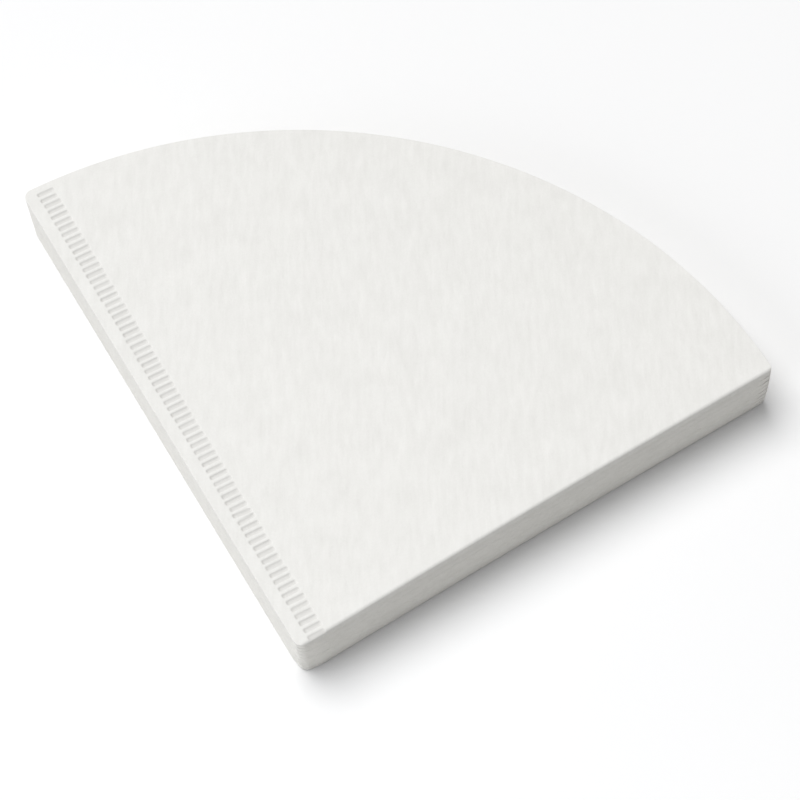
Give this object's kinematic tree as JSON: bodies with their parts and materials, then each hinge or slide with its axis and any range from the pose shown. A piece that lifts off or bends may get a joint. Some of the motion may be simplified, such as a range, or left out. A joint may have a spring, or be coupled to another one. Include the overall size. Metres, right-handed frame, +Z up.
{
  "type": "stack of paper coffee filters",
  "caption": "Flat stack of folded cone filters of white creped paper, each with a folded edge, a crimped seam and an open curved rim, for pour-over coffee.",
  "frame": {"origin": "middle of the stack's footprint, on the surface that the lowest filter lies on", "axes": "+X along the folded edge, from the cone's tip to the rim; +Y from the folded edge towards the rim end of the crimped seam; +Z up through the stack"},
  "size_m": [0.1112, 0.118, 0.0136],
  "materials": {
    "paper": "creped, matt, oxygen-whitened"
  },
  "bodies": {
    "root": {"filter_1": "paper", "filter_2": "paper", "filter_3": "paper", "filter_4": "paper", "filter_5": "paper", "filter_6": "paper", "filter_7": "paper", "filter_8": "paper"}
  },
  "joints": []
}
